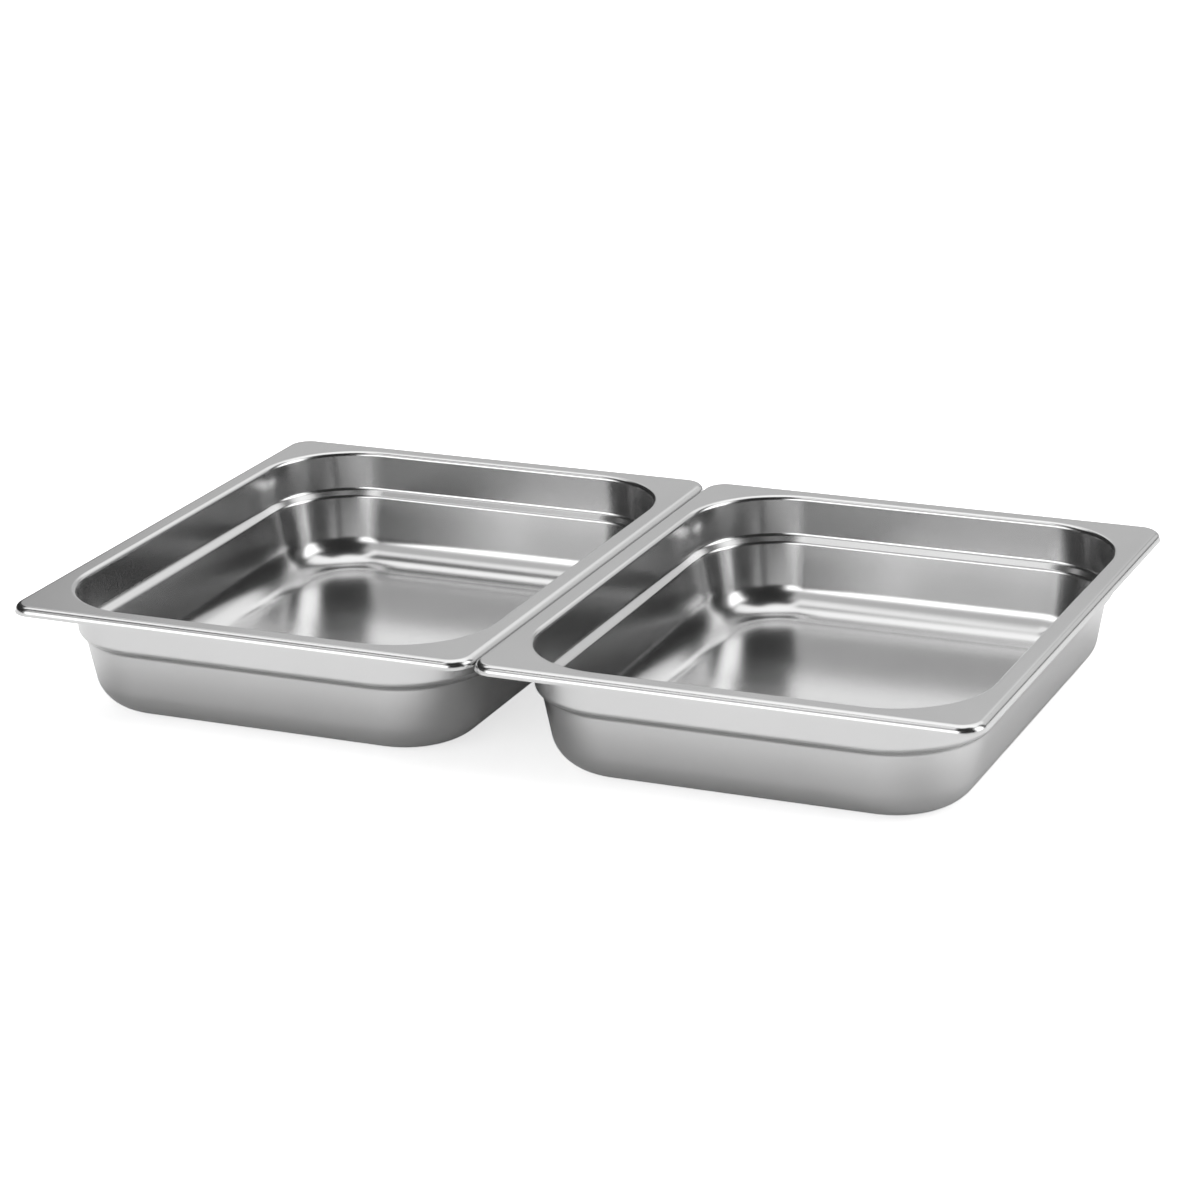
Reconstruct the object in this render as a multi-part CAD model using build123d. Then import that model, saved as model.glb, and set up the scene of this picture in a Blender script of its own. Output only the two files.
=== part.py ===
from build123d import *
import os
from math import cos, radians, tan

os.makedirs("parts", exist_ok=True)

# A pair of half-size food pans standing side by side, each deep drawn from one stainless steel sheet.
# Frame: +X runs along the pair, +Y to the back, +Z up. The origin is on the ground, midway between the pans.
# An inset is a distance inwards from the rim's outer faces.

# ---- driving dimensions, in mm and degrees ----

pan_width = 265.0            # over the rim, along X
pan_length = 325.0           # over the rim, along Y
pan_depth = 65.0             # ground to the top of the rim
sheet = 0.8                  # steel thickness

rim_overhang = 12.5          # from the rim's outer face to the body under it
rim_drop = 4.6               # height of the turned-down edge
rim_flare = 15.0             # how far the turned-down edge leans out
rim_fold_radius = 3.5        # outer surface of the fold along the rim's edge
rim_corner_radius = 13.0     # rim corners, seen from above

mouth_radius = 2.5           # upper surface, where the rim rolls over into the mouth
mouth_corner_radius = 50.0   # inner surface of the mouth's corners, seen from above
mouth_margin = 1.0           # flat strip of rim drawn with the wall

band_height = 22.2           # from the rim's top to the top of the shoulder
band_draft = 1.0             # how far the upper band leans in
shoulder_height = 3.6        # sloping shoulder that a stacked pan hangs on
shoulder_step = 3.6          # how far the shoulder brings the wall in
shoulder_radius = 3.0        # inner surface, both bends of the shoulder
wall_draft = 10.5            # how far the lower wall leans in
base_radius = 19.0           # inner surface, wall to floor
base_margin = 2.0            # flat strip of floor drawn with the wall

pan_gap = 0.6                # clear space between the two rims

# ---- places worked out from them ----

flared_sheet = sheet / cos(radians(rim_flare))
mouth_inset = rim_overhang + sheet
rim_inner_inset = mouth_inset - mouth_radius - mouth_margin
corner_centre_inset = mouth_inset + mouth_corner_radius

shoulder_top_z = pan_depth - band_height
shoulder_top_inset = mouth_inset + band_height * tan(radians(band_draft))
shoulder_foot_z = shoulder_top_z - shoulder_height
shoulder_foot_inset = shoulder_top_inset + shoulder_step
wall_foot_inset = shoulder_foot_inset + (shoulder_foot_z - sheet) * tan(radians(wall_draft))
base_bend_length = base_radius * tan(radians((90 - wall_draft) / 2))
floor_inset = wall_foot_inset + base_bend_length + base_margin


def outline(inset, corner_radius):
    """Rounded rectangle at an inset, seen from above."""
    return RectangleRounded(pan_width - 2 * inset, pan_length - 2 * inset, corner_radius)


def folded_block(inset, height, corner_radius, fold_radius):
    """Block at an inset, standing on the rim's lower edge: flared sides, with the fold along their top."""
    lower_edge = Plane.XY.offset(pan_depth - rim_drop) * outline(inset, corner_radius)
    block = extrude(lower_edge, height, taper=rim_flare)
    return fillet(block.faces().sort_by(Axis.Z)[-1].edges(), fold_radius)


def rim():
    """Flat rim with its turned-down edge, open inside the strip that is drawn with the wall."""
    outside = folded_block(0, rim_drop, rim_corner_radius, rim_fold_radius)
    hollow = folded_block(flared_sheet, rim_drop - sheet, rim_corner_radius - flared_sheet,
                          rim_fold_radius - sheet)
    opening = outline(rim_inner_inset, corner_centre_inset - rim_inner_inset)
    return outside - hollow - extrude(Plane.XY.offset(pan_depth - rim_drop) * opening, rim_drop)


def wall_section():
    """Cut through the sheet from the rim to the floor: X is the inset and Y the height."""
    inner_surface = FilletPolyline(
        (rim_inner_inset, pan_depth),
        (mouth_inset, pan_depth),
        (shoulder_top_inset, shoulder_top_z),
        (shoulder_foot_inset, shoulder_foot_z),
        (wall_foot_inset, sheet),
        (floor_inset, sheet),
        radius=[mouth_radius, shoulder_radius, shoulder_radius, base_radius],
    )
    return make_face(offset(inner_surface, amount=sheet, side=Side.RIGHT))


def wall():
    """Four straight runs of the section, with a quarter turn of it at each corner."""
    half_width = pan_width / 2
    half_length = pan_length / 2
    walls = []
    for turn in range(4):
        reach, half_side = (half_length, half_width) if turn % 2 == 0 else (half_width, half_length)
        corner_x = half_side - corner_centre_inset
        corner_y = corner_centre_inset - reach
        start = Plane(origin=(corner_x, -reach, 0), x_dir=(0, 1, 0), z_dir=(1, 0, 0))
        section = start * wall_section()
        straight = extrude(section, amount=-2 * corner_x)
        corner = revolve(section, axis=Axis((corner_x, corner_y, 0), (0, 0, 1)), revolution_arc=90)
        walls += [Rot(0, 0, 90 * turn) * straight, Rot(0, 0, 90 * turn) * corner]
    return walls


def pan():
    """One pan, drawn from a single sheet: rim, wall and floor in one solid."""
    floor = extrude(outline(floor_inset, corner_centre_inset - floor_inset), sheet)
    return rim().fuse(*wall(), floor).clean()


pan_pitch = pan_width + pan_gap
one_pan = pan()
for name, place in (("left_pan", -pan_pitch / 2), ("right_pan", pan_pitch / 2)):
    export_step(Pos(place, 0, 0) * one_pan, f"parts/{name}.step")
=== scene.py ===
from math import atan2, cos, radians, sin, tan

import bmesh
import bpy
from mathutils import Matrix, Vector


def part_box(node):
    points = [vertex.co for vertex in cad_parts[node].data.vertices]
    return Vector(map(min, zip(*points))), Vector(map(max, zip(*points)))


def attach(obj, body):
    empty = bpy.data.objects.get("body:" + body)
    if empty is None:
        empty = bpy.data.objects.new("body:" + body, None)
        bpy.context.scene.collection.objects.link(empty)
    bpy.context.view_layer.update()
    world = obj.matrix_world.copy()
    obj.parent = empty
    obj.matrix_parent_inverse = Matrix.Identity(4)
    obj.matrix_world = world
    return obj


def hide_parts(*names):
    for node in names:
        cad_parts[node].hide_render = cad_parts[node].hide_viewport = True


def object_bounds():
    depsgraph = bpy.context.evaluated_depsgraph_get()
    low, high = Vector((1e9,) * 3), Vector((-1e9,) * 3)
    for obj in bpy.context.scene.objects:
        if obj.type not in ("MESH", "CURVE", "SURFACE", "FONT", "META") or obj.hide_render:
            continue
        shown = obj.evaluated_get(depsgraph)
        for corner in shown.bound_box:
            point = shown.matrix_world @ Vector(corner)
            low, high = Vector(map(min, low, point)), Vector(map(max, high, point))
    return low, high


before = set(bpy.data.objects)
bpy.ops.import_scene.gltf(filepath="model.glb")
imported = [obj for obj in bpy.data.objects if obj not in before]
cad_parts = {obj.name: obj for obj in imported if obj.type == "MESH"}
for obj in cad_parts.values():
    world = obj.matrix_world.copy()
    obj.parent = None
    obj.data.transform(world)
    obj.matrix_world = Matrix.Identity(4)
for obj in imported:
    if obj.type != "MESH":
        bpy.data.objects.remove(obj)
cad_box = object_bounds()


# ---- The two pans ----
# Two food pans, each one sheet of 0.8 mm stainless steel, deep drawn in a press: a flat rim with a
# turned-down edge, a straight band, a shoulder, a leaning wall and a flat floor. Nothing joins the pans.

sheet = 0.0008
rim_drop = 0.0046
rim_flare = radians(15)
rim_fold_radius = 0.0035
rim_corner_radius = 0.013
mouth_inset = 0.0133
mouth_radius = 0.0025
mouth_corner_radius = 0.050
band_height = 0.0222
band_draft = radians(1)
shoulder_height = 0.0036
shoulder_step = 0.0036
shoulder_radius = 0.003
wall_draft = radians(10.5)
base_radius = 0.019
rim_top = cad_box[1][2]
corner_segments = 24
side_cuts = 9
strip = 0.001
vertex_limit = 10000.0
wall_height = rim_top - sheet - band_height - shoulder_height
shoulder_lean = atan2(shoulder_step, shoulder_height)

dark_steel = (0.64, 0.64, 0.64, 1)
pale_steel = (0.68, 0.68, 0.68, 1)
satin_roughness = 0.20
polished_roughness = 0.07
bump_depth = 0.000012
fold_reach = 0.0045
fold_fade = 0.0015
mouth_fade = 0.001
polish_depth = 0.007
polish_fade = 0.003


def rounded_plate(mesh, half_width, half_length, corner_radius, height):
    """Flat face with round corners, and short edges along its straight sides."""
    corners = bmesh.ops.create_grid(mesh, x_segments=1, y_segments=1, size=1)["verts"]
    bmesh.ops.scale(mesh, vec=(half_width, half_length, 1), verts=corners)
    bmesh.ops.translate(mesh, vec=(0, 0, height), verts=corners)
    rounded = bmesh.ops.bevel(mesh, geom=corners, offset=corner_radius, affect="VERTICES",
                              segments=corner_segments, profile=0.5, material=-1)
    sides = [edge for edge in rounded["verts"][0].link_faces[0].edges if edge.calc_length() > half_width]
    cut = bmesh.ops.subdivide_edges(mesh, edges=sides, cuts=side_cuts)
    return cut["geom_inner"][0].link_faces[0]


def draw_in(mesh, face, step_in, drop):
    """Draws a face inwards and down, and leaves a ring of sheet around it."""
    bmesh.ops.inset_region(mesh, faces=[face], thickness=step_in, depth=-drop,
                           use_even_offset=True, use_boundary=True)


def roll(mesh, loop, radius, turn, segments):
    """Rolls a sharp loop of edges, where the sheet turns by an angle, to a bend of that radius."""
    bmesh.ops.bevel(mesh, geom=loop, offset=radius * tan(turn / 2), offset_type="OFFSET", affect="EDGES",
                    segments=segments, profile=0.5, material=-1, clamp_overlap=False)


def face_rank(face):
    """A number from the numbers of a face's vertices, which no two faces share."""
    numbers = sorted(vertex.index for vertex in face.verts)
    return (numbers[0] * vertex_limit + numbers[1]) * vertex_limit + numbers[-1]


class Shade:
    """One output of a shader node. Arithmetic on it adds Math nodes."""

    def __init__(self, tree, output=None):
        self.tree = tree
        self.output = output

    def node(self, kind, settings=None, inputs=None, output=0):
        """Adds a node: its settings first, then values or links for its sockets."""
        made = self.tree.nodes.new(kind)
        for name, value in (settings or {}).items():
            setattr(made, name, value)
        for name, value in (inputs or {}).items():
            if isinstance(value, Shade):
                self.tree.links.new(value.output, made.inputs[name])
            else:
                made.inputs[name].default_value = value
        return Shade(self.tree, made.outputs[output])

    def maths(self, operation, *values):
        return self.node("ShaderNodeMath", {"operation": operation}, dict(enumerate(values)))

    def vector(self, operation, *values, output=0):
        return self.node("ShaderNodeVectorMath", {"operation": operation}, dict(enumerate(values)), output)

    def larger(self, other):
        return self.maths("MAXIMUM", self, other)

    def step(self, low, high):
        """0 below low, 1 above high, and smooth between them."""
        inputs = {"Value": self, "From Min": low, "From Max": high}
        return self.node("ShaderNodeMapRange", {"interpolation_type": "SMOOTHSTEP"}, inputs)

    def __add__(self, other):
        return self.maths("ADD", self, other)

    def __radd__(self, other):
        return self.maths("ADD", other, self)

    def __sub__(self, other):
        return self.maths("SUBTRACT", self, other)

    def __rsub__(self, other):
        return self.maths("SUBTRACT", other, self)

    def __mul__(self, other):
        return self.maths("MULTIPLY", self, other)

    def __rmul__(self, other):
        return self.maths("MULTIPLY", other, self)


def pressed_steel(name, centre, half_width, half_length):
    """Satin stainless sheet, with the press's upright drawing lines and a bright fold and mouth."""
    steel = bpy.data.materials.new(name)
    steel.use_nodes = True
    tree = Shade(steel.node_tree)
    shader = steel.node_tree.nodes["Principled BSDF"]
    shader.inputs["Metallic"].default_value = 1.0

    place = tree.node("ShaderNodeTexCoord", output="Object")
    place = tree.node("ShaderNodeMapping", inputs={"Vector": place, "Location": -centre})
    height = tree.node("ShaderNodeSeparateXYZ", inputs={"Vector": place}, output="Z")
    facing = tree.node("ShaderNodeTexCoord", output="Normal")
    upward = tree.node("ShaderNodeSeparateXYZ", inputs={"Vector": facing}, output="Z")
    level = upward.step(0.90, 0.995)

    # The fold and the mouth are polished brighter than the rest, but the flat rim between them isn't.
    reach = tree.vector("SUBTRACT", tree.vector("ABSOLUTE", place), (half_width, half_length, 0))
    reach_x = tree.node("ShaderNodeSeparateXYZ", inputs={"Vector": reach}, output="X")
    reach_y = tree.node("ShaderNodeSeparateXYZ", inputs={"Vector": reach}, output="Y")
    on_fold = reach_x.larger(reach_y).step(-fold_reach - fold_fade, -fold_reach)
    on_mouth = height.step(rim_top - mouth_radius - mouth_fade, rim_top - mouth_radius)
    near_top = height.step(rim_top - polish_depth - polish_fade, rim_top - polish_depth)
    polish = on_fold.larger(on_mouth) * (1 - level) * near_top

    # Drawing lines run up the walls, and the rolled sheet's grain runs along the floor and the rim.
    drawn = tree.vector("MULTIPLY", place, (1, 1, 0.05))
    lines = tree.node("ShaderNodeTexNoise", inputs={"Vector": drawn, "Scale": 420, "Detail": 2})
    rolled = tree.vector("MULTIPLY", place, (1, 0.04, 1))
    grain = tree.node("ShaderNodeTexNoise", inputs={"Vector": rolled, "Scale": 2600, "Detail": 2})
    smudges = tree.node("ShaderNodeTexNoise", inputs={"Vector": place, "Scale": 22, "Detail": 4})

    roughness = satin_roughness - (satin_roughness - polished_roughness) * polish
    roughness = roughness + 0.05 * (smudges - 0.5) + 0.05 * (grain - 0.5) * level
    steel.node_tree.links.new(roughness.output, shader.inputs["Roughness"])
    tint = tree.node("ShaderNodeMix", {"data_type": "RGBA"},
                     {"Factor": smudges, "A": dark_steel, "B": pale_steel}, output=2)
    steel.node_tree.links.new(tint.output, shader.inputs["Base Color"])
    relief = (lines - 0.5) * (1 - level) * (1 - polish) + 0.15 * (grain - 0.5) * (1 - polish)
    bump = tree.node("ShaderNodeBump", inputs={"Height": relief, "Strength": 1.0, "Distance": bump_depth})
    steel.node_tree.links.new(bump.output, shader.inputs["Normal"])
    return steel


for body in ("left_pan", "right_pan"):
    low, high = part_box(body)
    centre = (low + high) / 2
    half_width, half_length = (high.x - low.x) / 2, (high.y - low.y) / 2
    pan_mesh = bmesh.new()

    # The turned-down edge rises from its lower edge, and the rim lies flat inside it.
    rim_face = rounded_plate(pan_mesh, half_width, half_length, rim_corner_radius, rim_top - rim_drop)
    draw_in(pan_mesh, rim_face, rim_drop * tan(rim_flare), -rim_drop)
    fold_edges = list(rim_face.edges)
    draw_in(pan_mesh, rim_face, rim_fold_radius, 0)
    flat_edges = list(rim_face.edges)
    bmesh.ops.delete(pan_mesh, geom=[rim_face], context="FACES_ONLY")

    # The bowl starts as a flat face in the rim, with a narrow strip of rim round it.
    strip_inset = mouth_inset - mouth_radius - strip
    bowl_face = rounded_plate(pan_mesh, half_width - strip_inset, half_length - strip_inset,
                              mouth_corner_radius + mouth_radius + strip, rim_top)
    bmesh.ops.bridge_loops(pan_mesh, edges=flat_edges + list(bowl_face.edges))
    draw_in(pan_mesh, bowl_face, mouth_inset - strip_inset, 0)
    mouth_edges = list(bowl_face.edges)

    # The band, the shoulder and the leaning wall go down from the mouth, and the floor closes them.
    draw_in(pan_mesh, bowl_face, band_height * tan(band_draft), band_height)
    shoulder_top_edges = list(bowl_face.edges)
    draw_in(pan_mesh, bowl_face, shoulder_step, shoulder_height)
    shoulder_foot_edges = list(bowl_face.edges)
    draw_in(pan_mesh, bowl_face, wall_height * tan(wall_draft), wall_height)
    floor_edges = list(bowl_face.edges)

    # Every sharp turn in the sheet is rolled over.
    roll(pan_mesh, fold_edges, rim_fold_radius, radians(90) - rim_flare, 10)
    roll(pan_mesh, mouth_edges, mouth_radius, radians(90) - band_draft, 10)
    roll(pan_mesh, shoulder_top_edges, shoulder_radius, shoulder_lean - band_draft, 6)
    roll(pan_mesh, shoulder_foot_edges, shoulder_radius, shoulder_lean - wall_draft, 6)
    roll(pan_mesh, floor_edges, base_radius, radians(90) - wall_draft, 16)

    bmesh.ops.translate(pan_mesh, vec=(centre.x, centre.y, 0), verts=pan_mesh.verts)
    for face in pan_mesh.faces:
        face.smooth = True

    # The operators don't give the faces in the same order each run, so they are sorted.
    pan_mesh.verts.index_update()
    pan_mesh.faces.sort(key=face_rank)

    pan_data = bpy.data.meshes.new(f"{body}_steel")
    pan_mesh.to_mesh(pan_data)
    pan_mesh.free()
    pan = bpy.data.objects.new(f"{body}_steel", pan_data)
    bpy.context.scene.collection.objects.link(pan)
    pan_data.materials.append(pressed_steel(f"{body}_satin", centre, half_width, half_length))
    thicken = pan.modifiers.new("sheet", "SOLIDIFY")
    thicken.thickness = sheet
    thicken.offset = -1
    thicken.use_even_offset = True
    flatten = pan.modifiers.new("flat_faces", "WEIGHTED_NORMAL")
    flatten.weight = 100
    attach(pan, body)
    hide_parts(body)


# ---- Floor ----
# A plain white floor under the pans. It isn't part of them. To the camera it glows, so that it looks
# white with only a faint shadow, and it lies a hair below the pans' bases, so that the two don't coincide.

floor_half_size = 12
floor_drop = 0.0001
floor_white = (0.9, 0.9, 0.9, 1)
glow_to_pans = (0.02, 0.02, 0.02, 1)
glow_to_camera = (0.7, 0.7, 0.7, 1)

floor_material = bpy.data.materials.new("white_floor")
floor_material.use_nodes = True
floor_shader = floor_material.node_tree.nodes["Principled BSDF"]
floor_shader.inputs["Base Color"].default_value = floor_white
floor_shader.inputs["Roughness"].default_value = 0.9
floor_tree = Shade(floor_material.node_tree)
floor_seen = floor_tree.node("ShaderNodeLightPath", output="Is Camera Ray")
floor_glow = floor_tree.node("ShaderNodeMix", {"data_type": "RGBA"},
                             {"Factor": floor_seen, "A": glow_to_pans, "B": glow_to_camera}, output=2)
floor_material.node_tree.links.new(floor_glow.output, floor_shader.inputs["Emission Color"])
floor_shader.inputs["Emission Strength"].default_value = 1.0
floor_material.cycles.emission_sampling = "NONE"
floor_mesh = bmesh.new()
bmesh.ops.create_grid(floor_mesh, x_segments=1, y_segments=1, size=floor_half_size,
                      matrix=Matrix.Translation((0, 0, -floor_drop)))
floor_data = bpy.data.meshes.new("floor")
floor_mesh.to_mesh(floor_data)
floor_mesh.free()
floor = bpy.data.objects.new("floor", floor_data)
bpy.context.scene.collection.objects.link(floor)
floor_data.materials.append(floor_material)


# ---- Light ----
# A white studio: one tall light in front on the left, one on the right, a ceiling light with two gaps
# and a pale wall behind. The left side is unlit, and so is the gap in front where the camera stands.

studio = bpy.data.worlds.new("studio")
bpy.context.scene.world = studio
studio.use_nodes = True
studio_tree = Shade(studio.node_tree)
direction = studio_tree.node("ShaderNodeTexCoord", output="Generated")
rise = studio_tree.node("ShaderNodeSeparateXYZ", inputs={"Vector": direction}, output="Z")
along_ground = studio_tree.vector("NORMALIZE", studio_tree.vector("MULTIPLY", direction, (1, 1, 0)))


def panel(azimuth, half_width, bottom, top, edge=6):
    """1 towards a soft-edged panel, 0 elsewhere. In degrees: azimuth 0 is the front, and 90 the right."""
    middle = (sin(radians(azimuth)), -cos(radians(azimuth)), 0)
    across = studio_tree.vector("DOT_PRODUCT", along_ground, middle, output="Value")
    across = across.step(cos(radians(half_width + edge)), cos(radians(half_width - edge)))
    above_bottom = rise.step(sin(radians(bottom - edge)), sin(radians(bottom + edge)))
    above_top = rise.step(sin(radians(top - edge)), sin(radians(top + edge)))
    return across * above_bottom * (1 - above_top)


unlit = 0.03
front_gap = panel(36, 64, -40, 77)
left_gap = panel(-68, 14, -40, 70)
front_left_fill = 0.65 * panel(-30, 20, -40, 60)
front_left_light = 2.3 * panel(-20, 26, -40, 27)
right_light = 2.2 * panel(104, 20, -40, 45)
back_wall = 1.2 * panel(183, 37, 25, 60)
back_right_wall = 0.8 * panel(158, 14, 6, 40)
back_left_wall = 0.6 * panel(-165, 19, -40, 30)

ceiling = 1.4 * rise.step(sin(radians(43)), sin(radians(51))) * (1 - front_gap) * (1 - left_gap)
glow = unlit + ceiling
for light in (front_left_fill, front_left_light, right_light, back_wall, back_right_wall, back_left_wall):
    glow = glow.larger(light)

# The camera itself sees plain white.
seen = studio_tree.node("ShaderNodeLightPath", output="Is Camera Ray")
glow = glow * (1 - seen) + seen
studio.node_tree.links.new(glow.output, studio.node_tree.nodes["Background"].inputs["Strength"])
studio.node_tree.nodes["Background"].inputs["Color"].default_value = (1, 1, 1, 1)

# A square lamp overhead lights the floor, and doesn't show in the steel.
floor_light_data = bpy.data.lights.new("floor_light", "AREA")
floor_light_data.size = 2
floor_light_data.energy = 20
floor_light = bpy.data.objects.new("floor_light", floor_light_data)
bpy.context.scene.collection.objects.link(floor_light)
floor_light.location = (0, 0, 2)
floor_light.visible_glossy = False


# ---- Camera ----
# Stands in front of the pair and to its right, about two metres away, and looks down at it.

camera_place = (0.7556, -1.6885, 0.6828)
camera_turn = 0.4201
camera_dip = 0.33164
camera_roll = -0.026745

camera_data = bpy.data.cameras.new("camera")
camera_data.lens = 110.27
camera_data.sensor_width = 36
camera = bpy.data.objects.new("camera", camera_data)
bpy.context.scene.collection.objects.link(camera)
camera.matrix_world = (
    Matrix.Translation(camera_place)
    @ Matrix.Rotation(camera_turn, 4, "Z")
    @ Matrix.Rotation(radians(90) - camera_dip, 4, "X")
    @ Matrix.Rotation(camera_roll, 4, "Z")
)
bpy.context.scene.camera = camera
bpy.context.scene.view_settings.view_transform = "Standard"
